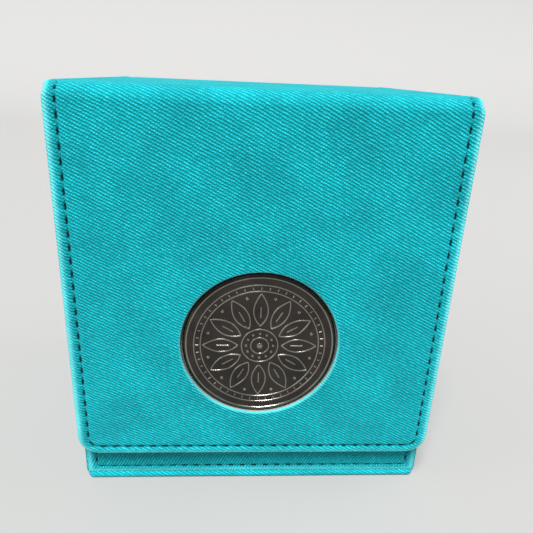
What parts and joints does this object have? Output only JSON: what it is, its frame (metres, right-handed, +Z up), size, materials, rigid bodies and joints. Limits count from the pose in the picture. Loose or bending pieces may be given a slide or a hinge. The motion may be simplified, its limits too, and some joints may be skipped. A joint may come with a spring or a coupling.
{
  "type": "card deck box",
  "caption": "Upright fabric-covered deck box for sleeved trading cards, with a fold-over lid, a magnetic stitched front flap and a round metal medallion.",
  "frame": {"origin": "centre of the box's footprint on its underside", "axes": "+Z up along the box's height, -Y out of the front flap, +X to the right seen from the front"},
  "size_m": [0.092, 0.086, 0.103],
  "materials": {
    "cover_fabric": "turquoise suede-like fabric with a fine pressed twill, matt",
    "lining": "charcoal short-pile microfibre, matt",
    "thread": "turquoise polyester thread, slight lustre",
    "board": "grey board, matt",
    "magnet": "nickel plate",
    "medallion": "polished black nickel with bright raised lines",
    "adhesive": "double-sided foam adhesive, matt"
  },
  "bodies": {
    "case": {"base_fabric": "cover_fabric", "base_board": "board", "tray_fabric": "cover_fabric", "tray_stitching": "thread", "tray_front_board": "board", "tray_rear_board": "board", "tray_left_board": "board", "tray_right_board": "board", "tray_floor_board": "board", "tray_front_lining": "lining", "tray_rear_lining": "lining", "tray_left_lining": "lining", "tray_right_lining": "lining", "tray_floor_lining": "lining", "tray_magnet_left": "magnet", "tray_magnet_right": "magnet", "back_fabric": "cover_fabric", "back_board": "board", "back_lining": "lining", "back_stitching": "thread", "rear_fold_fabric": "cover_fabric", "rear_fold_lining": "lining", "rear_fold_stitching_left": "thread", "rear_fold_stitching_right": "thread"},
    "lid": {"lid_fabric": "cover_fabric", "lid_board": "board", "lid_lining": "lining", "lid_stitching_left": "thread", "lid_stitching_right": "thread", "front_fold_fabric": "cover_fabric", "front_fold_lining": "lining", "front_fold_stitching_left": "thread", "front_fold_stitching_right": "thread"},
    "flap": {"flap_fabric": "cover_fabric", "flap_face_board": "board", "flap_backing_board": "board", "flap_lining": "lining", "flap_stitching": "thread", "flap_magnet_left": "magnet", "flap_magnet_right": "magnet", "medallion": "medallion", "medallion_adhesive": "adhesive"}
  },
  "joints": [
    {"name": "lid_hinge", "type": "hinge", "parent": "case", "child": "lid", "pos_m": [0, 0.04225, 0.10225], "axis": [-1, 0, 0], "range_deg": [0, 180], "deforming": ["rear_fold_fabric", "rear_fold_lining", "rear_fold_stitching_left", "rear_fold_stitching_right"]},
    {"name": "flap_fold", "type": "hinge", "parent": "lid", "child": "flap", "pos_m": [0, -0.04225, 0.10225], "axis": [-1, 0, 0], "range_deg": [0, 180], "deforming": ["front_fold_fabric", "front_fold_lining", "front_fold_stitching_left", "front_fold_stitching_right"]}
  ]
}
